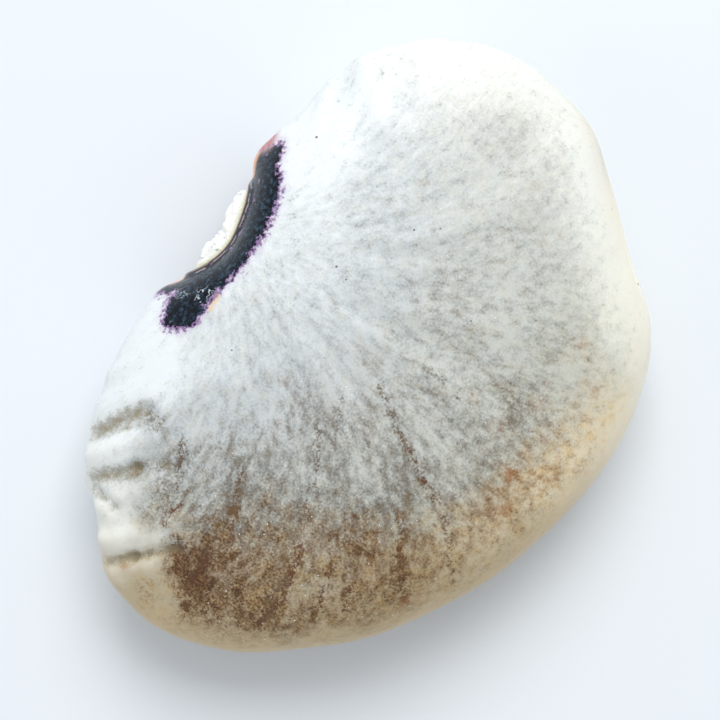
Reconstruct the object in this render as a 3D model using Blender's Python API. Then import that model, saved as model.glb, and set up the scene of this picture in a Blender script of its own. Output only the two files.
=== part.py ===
"""A large dried lima bean lying on its flat side.

Two pieces: the seed in its coat, and the spongy white remnant of the stalk that still
fills the scar (the hilum) on the seed's dented edge. Lengths are in millimetres until a
mesh is finished. +X runs along the seed to its wrinkled end, the hilum looks to -Y, and
the seed rests on z = 0.
"""

import math

import bmesh
import bpy
import numpy as np

MM = 0.001

# Seed outline seen from above: angle from +X in degrees, radius in millimetres.
OUTLINE = (
    (0, 10.78), (20, 9.31), (40, 8.22), (60, 7.62), (80, 7.45), (100, 7.82), (120, 8.51),
    (138, 8.89), (150, 8.99), (162, 9.58), (175, 10.54), (187, 11.10), (198, 11.26),
    (210, 10.93), (222, 10.12), (232, 9.03), (242, 8.37), (249, 7.60), (257, 6.96),
    (265, 6.69), (273, 6.83), (281, 7.36), (290, 8.10), (304, 9.01), (315, 9.84),
    (325, 10.40), (330, 10.47), (337, 11.03), (344, 11.33), (352, 11.19),
)
INNER_LENGTH = 10.7  # half axes of the oval that the outline turns into on the faces
INNER_WIDTH = 7.5
INNER_BLEND = 4.0  # power of the radius share with which the outline takes over

# Section: two domes that meet at the widest line.
TOP_DOME = 3.40
BOTTOM_DOME = 3.06
DOME_POWER = 2.3  # 2 is an ellipse, more is flatter with a rounder edge
BACK_SWELL = 0.10  # how much fuller the back half is than the hilum half
FLAT_SPOT_DEPTH = 0.06  # taken off the lowest point, to rest on
MIDDLE_Z = BOTTOM_DOME - FLAT_SPOT_DEPTH  # height of the widest line

# Hilum: a slot along the widest line, with a raised lip round it.
HILUM_FROM = 250.5  # degrees on the outline
HILUM_TO = 276.5
LIP_INSET = 4.0  # degrees from the slot's ends to the ends of the lip's middle line
LIP_RADIUS = 0.80
LIP_WIDTH = 0.26
LIP_HEIGHT = 0.13

# Swellings at the ends of the hilum: degrees on the outline, radius and height.
LENS = (244.5, 0.62, 0.20)
MICROPYLE = (285.0, 0.75, 0.20)

# Folds of the coat on the upper face: from x, y to x, y, half width, depth; a negative
# depth is a raised fold.
FOLDS = (
    (7.1, -6.7, 5.2, -5.3, 0.52, 0.24),
    (8.0, -5.8, 6.4, -4.6, 0.46, 0.18),
    (8.7, -5.9, 8.0, -4.8, 0.44, 0.14),
    (9.4, -4.9, 7.4, -3.3, 0.46, 0.10),
    (10.3, -4.2, 7.6, -1.9, 0.60, 0.26),
    (7.6, -6.3, 5.9, -4.9, 0.48, -0.14),
    (8.9, -5.2, 7.2, -4.0, 0.46, -0.10),
    (9.8, -4.9, 7.2, -2.9, 0.50, -0.08),
    (-7.4, -6.8, -6.0, -4.9, 0.80, 0.12),
    (-9.1, -6.1, -7.6, -4.6, 0.80, 0.10),
    (5.4, 0.3, 8.7, 1.5, 0.60, 0.10),
    (1.4, 1.4, 4.3, 4.1, 0.60, 0.10),
    (4.2, -2.6, 6.9, -1.2, 0.60, 0.08),
)
FOLD_RISE = 1.0  # the folds reach full depth this far above or below the widest line
UNDERSIDE_SHIFT = 0.7  # the underside has the same folds, moved along x and shallower
UNDERSIDE_SHARE = 0.7

# Crease along the back edge, over which the lower half stands out a little further.
CREASE_FROM = 136.0  # degrees on the outline
CREASE_TO = 174.0
CREASE_FADE = 13.0  # degrees over which each end runs out
CREASE_HEIGHT = 0.70  # over the widest line
CREASE_HALF_WIDTH = 0.50
CREASE_DEPTH = 0.22

# Low ribs that fan out from the hilum and bend away to both ends.
FAN_CENTRE = (-0.7, -7.6)
FAN_BEND = 0.08  # per millimetre from the hilum
FAN_REACH = 8.0
FAN_START = (3.0, 6.5)  # the ribs rise to full height between these distances
FAN_RIBS = ((21.0, 0.4, 0.024), (34.0, 2.1, 0.020))  # waves per radian, phase, height

# Stalk remnant in the hilum.
REMNANT_DEPTH = 0.42  # below the coat's edge
REMNANT_TALL_END = 0.62  # above it, at the two ends
REMNANT_LOW_END = 0.27
REMNANT_HALF_WIDTH = 0.60
REMNANT_POWER = 3.0  # 2 is an ellipsoid, more is squarer
REMNANT_SLIT_HALF_WIDTH = 0.13  # groove along its crown
REMNANT_SLIT_DEPTH = 0.22
REMNANT_CRUMBS = ((5.0, 0.0, 0.07), (11.0, 1.3, 0.06), (19.0, 2.9, 0.05))  # waves, phase, size
CRUMB_SHAPE = 0.7  # waves across for each wave along
SEAT_GAP = 0.10
WELD = 0.002  # corners closer than this after the cut become one

# Squares of the grids along x, y and z, before they are blown up into rounded shapes.
SEED_GRID = (46, 32, 14)
SEED_GRID_PULL = (0.25, -0.18)  # draws the grid lines to the wrinkled end and to the hilum
SEED_GRID_RIM = 0.6  # how much of the height the grid's four side faces take
REMNANT_GRID = (16, 8, 8)


def smooth_step(low, high, value):
    """0 below low, 1 above high, with a smooth rise between."""
    t = np.clip((value - low) / (high - low), 0.0, 1.0)
    return t * t * (3.0 - 2.0 * t)


def closed_spline(points):
    """The smooth closed curve radius(angle) through the given points."""
    angle = np.radians([p[0] for p in points])
    radius = np.array([p[1] for p in points])
    count = len(points)
    step = np.diff(np.append(angle, angle[0] + 2 * math.pi))
    rise = np.diff(np.append(radius, radius[0])) / step
    system = np.zeros((count, count))
    target = np.zeros(count)
    for i in range(count):
        before, after = step[i - 1], step[i]
        system[i, i - 1] = 1 / before
        system[i, i] = 2 / before + 2 / after
        system[i, (i + 1) % count] = 1 / after
        target[i] = 3 * (rise[i - 1] / before + rise[i] / after)
    slope = np.linalg.solve(system, target)

    def curve(theta):
        theta = np.mod(theta, 2 * math.pi)
        i = np.searchsorted(angle, theta, side="right") - 1
        j = (i + 1) % count
        t = (theta - angle[i]) / step[i]
        return (
            (1 + 2 * t) * (1 - t) ** 2 * radius[i]
            + t * (1 - t) ** 2 * step[i] * slope[i]
            + t * t * (3 - 2 * t) * radius[j]
            - t * t * (1 - t) * step[i] * slope[j]
        )

    return curve


outline_radius = closed_spline(OUTLINE)


def outline_points(degrees):
    """Points of the widest line at the given angles."""
    theta = np.radians(np.asarray(degrees, float))
    radius = outline_radius(theta)
    height = np.full_like(theta, MIDDLE_Z)
    return np.stack([radius * np.cos(theta), radius * np.sin(theta), height], -1)


def box_grid(squares):
    """A bmesh of the box from -1 to 1 each way, cut into squares along x, y and z."""
    mesh = bmesh.new()
    bmesh.ops.create_cube(mesh, size=2.0)
    for axis, count in enumerate(squares):
        normal = [float(axis == i) for i in range(3)]
        for cut in range(1, count):
            place = [normal[i] * (2 * cut / count - 1) for i in range(3)]
            everything = mesh.verts[:] + mesh.edges[:] + mesh.faces[:]
            bmesh.ops.bisect_plane(mesh, geom=everything, plane_co=place, plane_no=normal)
    return mesh


def ball_directions(mesh, pull=(0.0, 0.0), rim=1.0):
    """Unit vectors from the box's middle to its vertices, evened out over the ball."""
    box = np.array([vertex.co[:] for vertex in mesh.verts])
    for axis, strength in enumerate(pull):
        box[:, axis] += strength * (1 - box[:, axis] ** 2)
    even = np.tan(box * math.pi / 4) * (1.0, 1.0, rim)
    return even / np.linalg.norm(even, axis=1)[:, None]


def seed_surface(direction):
    """Points of the plain seed, without folds or lip, for unit directions."""
    theta = np.arctan2(direction[:, 1], direction[:, 0])
    flat = np.hypot(direction[:, 0], direction[:, 1])
    size = (flat**DOME_POWER + np.abs(direction[:, 2]) ** DOME_POWER) ** (1 / DOME_POWER)
    share = flat / size
    oval = INNER_LENGTH * INNER_WIDTH / np.hypot(
        INNER_WIDTH * np.cos(theta), INNER_LENGTH * np.sin(theta)
    )
    blend = share**INNER_BLEND
    radius = share * (oval * (1 - blend) + outline_radius(theta) * blend)
    x = radius * np.cos(theta)
    y = radius * np.sin(theta)
    swell = 1 + BACK_SWELL * y / INNER_WIDTH
    dome = np.where(direction[:, 2] > 0, TOP_DOME * swell, BOTTOM_DOME)
    return np.stack([x, y, MIDDLE_Z + dome * direction[:, 2] / size], -1)


def distance_to_line(points, line):
    """Distance of each point to a polyline, in as many dimensions as both have."""
    nearest = np.full(len(points), np.inf)
    for a, b in zip(line[:-1], line[1:]):
        along = b - a
        t = np.clip((points - a) @ along / (along @ along), 0.0, 1.0)
        gap = np.linalg.norm(points - (a + t[:, None] * along), axis=1)
        nearest = np.minimum(nearest, gap)
    return nearest


def hilum_lip(points):
    """The raised lip round the slot."""
    line = outline_points(np.linspace(HILUM_FROM + LIP_INSET, HILUM_TO - LIP_INSET, 9))
    away = (distance_to_line(points, line) - LIP_RADIUS) / LIP_WIDTH
    return LIP_HEIGHT * np.exp(-away * away)


def swelling(points, place):
    """A round bump on the widest line."""
    degrees, radius, height = place
    centre = outline_points([degrees])
    return height * np.exp(-(np.linalg.norm(points - centre, axis=1) / radius) ** 2)


def folds(points):
    """The short folds of both faces."""
    upper = smooth_step(0.0, FOLD_RISE, points[:, 2] - MIDDLE_Z)
    lower = smooth_step(0.0, FOLD_RISE, MIDDLE_Z - points[:, 2])
    relief = np.zeros(len(points))
    for share, shift in ((upper, 0.0), (UNDERSIDE_SHARE * lower, UNDERSIDE_SHIFT)):
        plan = points[:, :2] + np.array([shift, 0.0])
        for x0, y0, x1, y1, half_width, depth in FOLDS:
            line = np.array([[x0, y0], [x1, y1]])
            away = distance_to_line(plan, line) / half_width
            relief -= share * depth * np.exp(-away * away)
    return relief


def edge_crease(points):
    """The crease along the back edge."""
    degrees = np.degrees(np.arctan2(points[:, 1], points[:, 0])) % 360
    rise = smooth_step(CREASE_FROM, CREASE_FROM + CREASE_FADE, degrees)
    fall = smooth_step(CREASE_TO - CREASE_FADE, CREASE_TO, degrees)
    line = outline_points(np.linspace(CREASE_FROM, CREASE_TO, 9)) + (0.0, 0.0, CREASE_HEIGHT)
    away = distance_to_line(points, line) / CREASE_HALF_WIDTH
    return -CREASE_DEPTH * rise * (1 - fall) * np.exp(-away * away)


def fan_ribs(points):
    """The low ribs that spread from the hilum."""
    x = points[:, 0] - FAN_CENTRE[0]
    y = points[:, 1] - FAN_CENTRE[1]
    reach = np.hypot(x, y)
    ray = np.arctan2(x, y) * np.exp(-FAN_BEND * (reach - FAN_REACH))
    relief = sum(height * np.sin(waves * ray + phase) for waves, phase, height in FAN_RIBS)
    return relief * smooth_step(*FAN_START, reach)


def seed_relief(points):
    """How far the coat stands out of the plain seed."""
    return (
        hilum_lip(points)
        + swelling(points, LENS)
        + swelling(points, MICROPYLE)
        + folds(points)
        + edge_crease(points)
        + fan_ribs(points)
    )


def torn_crown(along, across):
    """Crumbs and a groove on the remnant's outer side."""
    crumbs = sum(
        size * np.sin(waves * along + phase) * np.cos(CRUMB_SHAPE * waves * across + 2 * phase)
        for waves, phase, size in REMNANT_CRUMBS
    )
    off_middle = across * REMNANT_HALF_WIDTH / REMNANT_SLIT_HALF_WIDTH
    slit = REMNANT_SLIT_DEPTH * np.exp(-off_middle * off_middle)
    return crumbs - slit * (1 - along**6)


def remnant_surface(direction, grow, torn):
    """Points of the stalk remnant: a cushion bent along the hilum, larger all round by grow."""
    size = (np.abs(direction) ** REMNANT_POWER).sum(1) ** (1 / REMNANT_POWER)
    along, across, out = (direction / size[:, None]).T
    share = (along + 1) / 2
    degrees = HILUM_FROM + share * (HILUM_TO - HILUM_FROM)
    middle = outline_points(degrees)[:, :2]
    run = (outline_points(degrees + 1) - outline_points(degrees - 1))[:, :2]
    run /= np.linalg.norm(run, axis=1)[:, None]
    outward = np.stack([run[:, 1], -run[:, 0]], -1)
    crown = REMNANT_TALL_END + share * (REMNANT_LOW_END - REMNANT_TALL_END)
    lift = (np.where(out > 0, crown, REMNANT_DEPTH) + grow) * out
    if torn:
        lift += np.clip(out, 0, 1) * torn_crown(along, across)
    plan = middle + outward * lift[:, None] + run * (grow * along)[:, None]
    z = MIDDLE_Z + (REMNANT_HALF_WIDTH + grow) * across
    return np.column_stack([plan, z])


def finish_object(name, mesh, points, material):
    """Makes a named object of the mesh, with its vertices at the points.

    The squares are split into triangles along the diagonal that bends the surface less.
    """
    for vertex, point in zip(mesh.verts, points):
        vertex.co = point * MM
    split = bmesh.ops.triangulate(mesh, faces=mesh.faces[:])
    diagonals = [edge for edge in split["edges"] if edge.is_valid]
    bmesh.ops.beautify_fill(mesh, faces=mesh.faces[:], edges=diagonals, method="ANGLE")
    data = bpy.data.meshes.new(name)
    mesh.to_mesh(data)
    mesh.free()
    data.shade_smooth()
    thing = bpy.data.objects.new(name, data)
    bpy.context.scene.collection.objects.link(thing)
    if material is not None:
        data.materials.append(material)
    return thing


def finish(name, colour, roughness):
    """A plain, non-metallic material."""
    material = bpy.data.materials.new(name)
    material.use_nodes = True
    shader = material.node_tree.nodes["Principled BSDF"]
    shader.inputs["Base Color"].default_value = (*colour, 1.0)
    shader.inputs["Roughness"].default_value = roughness
    shader.inputs["Metallic"].default_value = 0.0
    return material


def seed_points():
    """The seed's mesh grid and its points, resting on z = 0 with a small flat spot."""
    mesh = box_grid(SEED_GRID)
    plain = seed_surface(ball_directions(mesh, SEED_GRID_PULL, SEED_GRID_RIM))
    for vertex, point in zip(mesh.verts, plain):
        vertex.co = point
    mesh.normal_update()
    normals = np.array([vertex.normal[:] for vertex in mesh.verts])
    points = plain + normals * seed_relief(plain)[:, None]
    points[:, 2] = np.maximum(points[:, 2], 0.0)
    return mesh, points


def remnant_points(grow, torn):
    """The remnant's mesh grid and its points."""
    mesh = box_grid(REMNANT_GRID)
    return mesh, remnant_surface(ball_directions(mesh), grow, torn)


def build():
    """The two pieces, centred over the origin, with the remnant's seat cut into the seed."""
    for thing in list(bpy.data.objects):
        bpy.data.objects.remove(thing)

    seed_mesh, seed = seed_points()
    remnant_mesh, remnant = remnant_points(0.0, True)
    cutter_mesh, cutter = remnant_points(SEAT_GAP, False)

    both = np.vstack([seed, remnant])
    centre = (both.min(0) + both.max(0)) / 2
    centre[2] = 0.0

    coat = finish("seed_coat", (0.80, 0.78, 0.74), 0.42)
    sponge = finish("stalk_sponge", (0.88, 0.88, 0.80), 0.90)
    bean = finish_object("bean", seed_mesh, seed - centre, coat)
    finish_object("stalk_remnant", remnant_mesh, remnant - centre, sponge)
    seat = finish_object("hilum_cutter", cutter_mesh, cutter - centre, None)
    seat.hide_render = True
    seat.display_type = "WIRE"

    cut = bean.modifiers.new("hilum_seat", "BOOLEAN")
    cut.operation = "DIFFERENCE"
    cut.solver = "EXACT"
    cut.object = seat
    weld = bean.modifiers.new("seat_weld", "WELD")
    weld.merge_threshold = WELD * MM


build()
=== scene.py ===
import math

import bpy
import numpy as np
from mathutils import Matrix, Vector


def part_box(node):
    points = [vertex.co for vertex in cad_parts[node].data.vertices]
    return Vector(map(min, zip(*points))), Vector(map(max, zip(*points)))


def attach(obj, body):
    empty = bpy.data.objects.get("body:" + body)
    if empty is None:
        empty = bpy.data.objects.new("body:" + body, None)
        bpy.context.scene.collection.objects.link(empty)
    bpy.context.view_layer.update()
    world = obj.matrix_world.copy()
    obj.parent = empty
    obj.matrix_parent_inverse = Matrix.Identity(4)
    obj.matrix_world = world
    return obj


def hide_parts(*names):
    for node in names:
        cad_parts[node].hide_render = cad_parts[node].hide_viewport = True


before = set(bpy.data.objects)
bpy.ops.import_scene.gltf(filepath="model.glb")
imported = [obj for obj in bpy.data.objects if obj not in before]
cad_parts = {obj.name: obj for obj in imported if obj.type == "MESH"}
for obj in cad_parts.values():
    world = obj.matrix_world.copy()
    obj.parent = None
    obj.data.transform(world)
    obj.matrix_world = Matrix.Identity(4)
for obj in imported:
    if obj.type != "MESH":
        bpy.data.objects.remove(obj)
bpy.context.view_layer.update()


# The seed: two flat halves closed in one thin, tough coat that dried hard and a little
# translucent. It grew as one body, dented where its stalk was fixed, and its coat wrinkled
# at one end as it shrank. Lengths are in millimetres until the mesh is made.
MM = 0.001
SEED_OUTLINE = (  # seen from above: angle from +X in degrees, radius
    (0, 10.78), (20, 9.31), (40, 8.22), (60, 7.62), (80, 7.45), (100, 7.82), (120, 8.51),
    (138, 8.89), (150, 8.99), (162, 9.58), (175, 10.54), (187, 11.10), (198, 11.26),
    (210, 10.93), (222, 10.12), (232, 9.03), (242, 8.37), (249, 7.56), (257, 6.84),
    (265, 6.52), (273, 6.74), (281, 7.36), (290, 8.10), (304, 9.01), (315, 9.84),
    (325, 10.40), (330, 10.47), (337, 11.03), (344, 11.33), (352, 11.19),
)
INNER_OVAL = (10.7, 7.5)  # half axes of the oval that the outline turns into on the faces
INNER_BLEND = 4.0
TOP_DOME = 3.40
BOTTOM_DOME = 3.06
DOME_POWER = 2.3
BACK_SWELL = 0.10
MIDDLE_Z = 3.00  # height of the widest line
HILUM = (250.5, 276.5)  # degrees on the outline between which the slot lies
HILUM_INSET = 4.0  # degrees from the slot's ends to the ends of its middle line
LINE_POINTS = 9  # points of a line that follows the outline
SLOT_DEPTH = 0.42
SLOT_WALL = (0.40, 0.62)  # distances from the middle line between which the slot's wall rises
LIP = (0.78, 0.20, 0.14)  # distance from the middle line, half width and height of the lip
LENS = (244.5, 0.62, 0.20)  # swellings beside the slot: degrees on the outline, radius, height
MICROPYLE = (285.0, 0.75, 0.20)
SEED_FOLDS = (  # on the upper face: from x, y to x, y, half width, depth; negative is raised
    (7.3, -6.9, 5.4, -5.7, 0.34, 0.25),
    (8.15, -5.87, 7.1, -4.85, 0.26, 0.21),
    (7.0, -4.9, 6.3, -4.0, 0.26, 0.12),
    (8.6, -6.2, 8.5, -4.8, 0.24, 0.22),
    (9.3, -4.5, 8.0, -3.3, 0.26, 0.12),
    (10.6, -4.3, 9.5, -3.35, 0.20, 0.26),
    (9.5, -3.35, 8.4, -2.3, 0.18, 0.20),
    (7.9, -6.6, 5.9, -5.0, 0.30, -0.16),
    (8.9, -5.3, 7.2, -4.0, 0.28, -0.12),
    (10.1, -4.9, 7.4, -2.7, 0.34, -0.18),
    (-7.4, -6.8, -6.0, -4.9, 0.70, 0.14),
    (-9.1, -6.1, -7.6, -4.6, 0.70, 0.12),
    (-8.4, -6.4, -6.9, -4.7, 0.60, -0.08),
    (5.4, 0.3, 8.7, 1.5, 0.30, 0.08),
    (1.4, 1.4, 4.3, 4.1, 0.30, 0.08),
    (4.2, -2.6, 6.9, -1.2, 0.30, 0.07),
)
FOLD_RISE = 0.8  # the folds reach full depth this far above or below the widest line
UNDERSIDE_FOLDS = (0.7, 0.7)  # shift along x and share of the depth on the underside
CREASE = (136.0, 174.0, 13.0, 0.62, 0.36, 0.24)  # from, to, run-out, height, half width, depth
FAN_CENTRE = (-0.7, -7.6)
FAN_BEND = 0.08
FAN_REACH = 8.0
FAN_START = (3.0, 6.5)
FAN_RIBS = ((21.0, 0.4, 0.024), (34.0, 2.1, 0.020))  # waves per radian, phase, height
SEED_GRID = (196, 138, 52)  # squares of the box that is blown up into the seed
SEED_GRID_PULL = (0.16, -0.12)
SEED_GRID_RIM = 0.6


def smooth_step(low, high, value):
    """0 below low, 1 above high, with a smooth rise between."""
    t = np.clip((value - low) / (high - low), 0.0, 1.0)
    return t * t * (3.0 - 2.0 * t)


def closed_spline(points):
    """The smooth closed curve radius(angle) through the given points."""
    angle = np.radians([p[0] for p in points])
    radius = np.array([p[1] for p in points])
    count = len(points)
    step = np.diff(np.append(angle, angle[0] + 2 * math.pi))
    rise = np.diff(np.append(radius, radius[0])) / step
    system = np.zeros((count, count))
    target = np.zeros(count)
    for i in range(count):
        before, after = step[i - 1], step[i]
        system[i, i - 1] = 1 / before
        system[i, i] = 2 / before + 2 / after
        system[i, (i + 1) % count] = 1 / after
        target[i] = 3 * (rise[i - 1] / before + rise[i] / after)
    slope = np.linalg.solve(system, target)

    def curve(theta):
        theta = np.mod(theta, 2 * math.pi)
        i = np.searchsorted(angle, theta, side="right") - 1
        j = (i + 1) % count
        t = (theta - angle[i]) / step[i]
        return (
            (1 + 2 * t) * (1 - t) ** 2 * radius[i]
            + t * (1 - t) ** 2 * step[i] * slope[i]
            + t * t * (3 - 2 * t) * radius[j]
            - t * t * (1 - t) * step[i] * slope[j]
        )

    return curve


outline_radius = closed_spline(SEED_OUTLINE)


def outline_points(degrees):
    """Points of the widest line at the given angles."""
    theta = np.radians(np.asarray(degrees, float))
    radius = outline_radius(theta)
    height = np.full_like(theta, MIDDLE_Z)
    return np.stack([radius * np.cos(theta), radius * np.sin(theta), height], -1)


def box_grid(squares):
    """Corners, from -1 to 1, and four-sided faces of a box cut into squares."""
    quads = []
    for axis in range(3):
        u, v = (axis + 1) % 3, (axis + 2) % 3
        i, j = np.meshgrid(np.arange(squares[u]), np.arange(squares[v]), indexing="ij")
        round_square = ((0, 0), (1, 0), (1, 1), (0, 1))
        ring = np.stack([np.stack([i + a, j + b], -1) for a, b in round_square], -2)
        for end in (0, squares[axis]):
            corner = np.empty(ring.shape[:3] + (3,), int)
            corner[..., axis] = end
            corner[..., u] = ring[..., 0]
            corner[..., v] = ring[..., 1]
            quads.append((corner if end else corner[..., ::-1, :]).reshape(-1, 4, 3))
    every = np.concatenate(quads).reshape(-1, 3)
    key = np.ravel_multi_index(every.T, np.array(squares) + 1)
    _, first, place = np.unique(key, return_index=True, return_inverse=True)
    corners = every[first] / (np.array(squares) / 2) - 1
    return corners, place.reshape(-1, 4)


def ball_directions(corners, pull=(0.0, 0.0), rim=1.0):
    """Unit vectors from the box's middle to its corners, evened out over the ball."""
    box = corners.copy()
    for axis, strength in enumerate(pull):
        box[:, axis] += strength * (1 - box[:, axis] ** 2)
    even = np.tan(box * math.pi / 4) * (1.0, 1.0, rim)
    return even / np.linalg.norm(even, axis=1)[:, None]


def mesh_of(name, points, faces):
    """A smooth-shaded mesh with its points in metres."""
    data = bpy.data.meshes.new(name)
    data.vertices.add(len(points))
    data.vertices.foreach_set("co", (points * MM).astype(np.float32).ravel())
    data.loops.add(faces.size)
    data.loops.foreach_set("vertex_index", faces.astype(np.int32).ravel())
    data.polygons.add(len(faces))
    data.polygons.foreach_set("loop_start", np.arange(0, faces.size, 4, dtype=np.int32))
    data.update(calc_edges=True)
    data.validate()
    data.shade_smooth()
    return data


def mesh_normals(data):
    """The mesh's point normals."""
    normals = np.empty(len(data.vertices) * 3, np.float32)
    data.vertex_normals.foreach_get("vector", normals)
    return normals.reshape(-1, 3).astype(float)


def seed_surface(direction):
    """Points of the plain seed, without folds or lip, for unit directions."""
    theta = np.arctan2(direction[:, 1], direction[:, 0])
    flat = np.hypot(direction[:, 0], direction[:, 1])
    size = (flat**DOME_POWER + np.abs(direction[:, 2]) ** DOME_POWER) ** (1 / DOME_POWER)
    share = flat / size
    length, width = INNER_OVAL
    oval = length * width / np.hypot(width * np.cos(theta), length * np.sin(theta))
    blend = share**INNER_BLEND
    radius = share * (oval * (1 - blend) + outline_radius(theta) * blend)
    x = radius * np.cos(theta)
    y = radius * np.sin(theta)
    swell = 1 + BACK_SWELL * y / width
    dome = np.where(direction[:, 2] > 0, TOP_DOME * swell, BOTTOM_DOME)
    return np.stack([x, y, MIDDLE_Z + dome * direction[:, 2] / size], -1)


def distance_to_line(points, line):
    """Distance of each point to a polyline, in as many dimensions as both have."""
    nearest = np.full(len(points), np.inf)
    for a, b in zip(line[:-1], line[1:]):
        along = b - a
        t = np.clip((points - a) @ along / (along @ along), 0.0, 1.0)
        gap = np.linalg.norm(points - (a + t[:, None] * along), axis=1)
        nearest = np.minimum(nearest, gap)
    return nearest


def bell(distance, half_width):
    """1 on the line, falling off smoothly to either side."""
    return np.exp(-((distance / half_width) ** 2))


def fan_place(points):
    """How far a point lies from the hilum, and on which of the rays that fan out from it."""
    x = points[:, 0] - FAN_CENTRE[0]
    y = points[:, 1] - FAN_CENTRE[1]
    reach = np.hypot(x, y)
    return reach, np.arctan2(x, y) * np.exp(-FAN_BEND * (reach - FAN_REACH))


def fold_relief(points):
    """How far the folds stand out of the plain seed, or lie in it."""
    shift, low_share = UNDERSIDE_FOLDS
    above = points[:, 2] - MIDDLE_Z
    relief = np.zeros(len(points))
    for share, move in (
        (smooth_step(0.0, FOLD_RISE, above), 0.0),
        (low_share * smooth_step(0.0, FOLD_RISE, -above), shift),
    ):
        for x0, y0, x1, y1, half_width, depth in SEED_FOLDS:
            line = np.array([[x0 - move, y0], [x1 - move, y1]])
            relief -= share * depth * bell(distance_to_line(points[:, :2], line), half_width)
    return relief


def crease_share(points):
    """1 along the crease under the back edge, falling off to either side and to its ends."""
    start, end, run_out, height, half_width, _ = CREASE
    degrees = np.degrees(np.arctan2(points[:, 1], points[:, 0])) % 360
    run_in = smooth_step(start, start + run_out, degrees)
    full = run_in * (1 - smooth_step(end - run_out, end, degrees))
    line = outline_points(np.linspace(start, end, LINE_POINTS)) + (0.0, 0.0, height)
    return full * bell(distance_to_line(points, line), half_width)


def seed_relief(points, hilum_distance):
    """How far the coat stands out of the plain seed."""
    lip_distance, lip_width, lip_height = LIP
    relief = lip_height * bell(hilum_distance - lip_distance, lip_width)
    relief -= SLOT_DEPTH * (1 - smooth_step(*SLOT_WALL, hilum_distance))
    for degrees, radius, height in (LENS, MICROPYLE):
        away = np.linalg.norm(points - outline_points([degrees]), axis=1)
        relief += height * bell(away, radius)
    relief += fold_relief(points)
    relief -= CREASE[-1] * crease_share(points)
    reach, ray = fan_place(points)
    ribs = sum(height * np.sin(waves * ray + phase) for waves, phase, height in FAN_RIBS)
    return relief + ribs * smooth_step(*FAN_START, reach)


hilum_line = outline_points(
    np.linspace(HILUM[0] + HILUM_INSET, HILUM[1] - HILUM_INSET, LINE_POINTS)
)
corners, seed_faces = box_grid(SEED_GRID)
plain_seed = seed_surface(ball_directions(corners, SEED_GRID_PULL, SEED_GRID_RIM))
hilum_distance = distance_to_line(plain_seed, hilum_line)
plain_mesh = mesh_of("plain_seed", plain_seed, seed_faces)
seed_height = seed_relief(plain_seed, hilum_distance)
seed_points = plain_seed + mesh_normals(plain_mesh) * seed_height[:, None]
seed_points[:, 2] = np.maximum(seed_points[:, 2], 0.0)
bpy.data.meshes.remove(plain_mesh)

# The outline's origin goes where the CAD seed has it: both boxes get the same middle.
low, high = (np.array(corner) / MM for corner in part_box("bean"))
shift = (low + high) / 2 - (seed_points.min(0) + seed_points.max(0)) / 2
shift[2] = 0.0
seed_mesh = mesh_of("seed_in_coat", seed_points + shift, seed_faces)

# Where the coat's colours lie, seen from above. Both faces are marked alike.
PALE_MARGIN = (  # degrees on the outline, width of the margin that stays free of flecks
    (0, -2.0), (38, -2.4), (58, -1.4), (84, -0.9), (112, -0.7), (130, 0.0), (172, 0.0),
    (188, -0.4), (207, 0.9), (221, 1.5), (232, 0.9), (250, -0.6), (266, -1.2), (286, -1.3),
    (304, 1.7), (320, 0.4), (333, 0.2), (338, 0.5), (343, 0.3), (347, -0.3), (352, -1.4),
)
MARGIN_FADE = 3.5
HILUM_PALE = (0.25, 7.5)  # flecks thin out to this share at the hilum, from this distance on
BACK_EDGE = (331.0, 22.0, 148.0, 52.0)  # straw and cream edge: from, run-in, to, run-out
WARM_ZONE = (4.3, 0.4)  # distance from the back edge: from where on, and where fully warm
WARM_END = (3.0, 7.5, 0.60)  # the wrinkled end is warm too: from, to, how much
BLUSH = (-1.5, 5.5)  # towards the back edge the whole skin turns a little warmer, from y to y
FAR_BLUSH = (4.5, 9.5, 0.6)  # and away from the hilum: from, to, how much
FLECK_WAY = (0.824, 0.566)  # flecks grow denser in this direction
FLECK_RISE = (  # distance that way, how crowded the flecks are
    (-7.5, 0.38), (-4.0, 0.46), (0.0, 0.51), (2.0, 0.60),
    (4.0, 0.62), (5.5, 0.53), (7.0, 0.47), (9.0, 0.47),
)
WRINKLED_END = (0.0, 3.0)  # the folds gather dirt and painted shade past this x, fully from there on
FOLD_FLECKS = 1.7  # flecks added per millimetre of a fold's depth
FOLD_STAIN = 0.5
BACK_FLECKS = 0.11
STAIN_FADE = (0.0, 1.0)  # a stain sets in over this distance from the pale margin
BROWNING = (2.4, 8.8, 0.66)  # flecks turn brown towards the wrinkled end: from, to, how much
BROWN_STAINS = 0.5
BROWN_BACK = 0.2
RIM_GLOW = (80.0, 125.0, 150.0, 188.0)  # the very edge is palest between these angles, partly its cream and partly painted light
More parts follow.
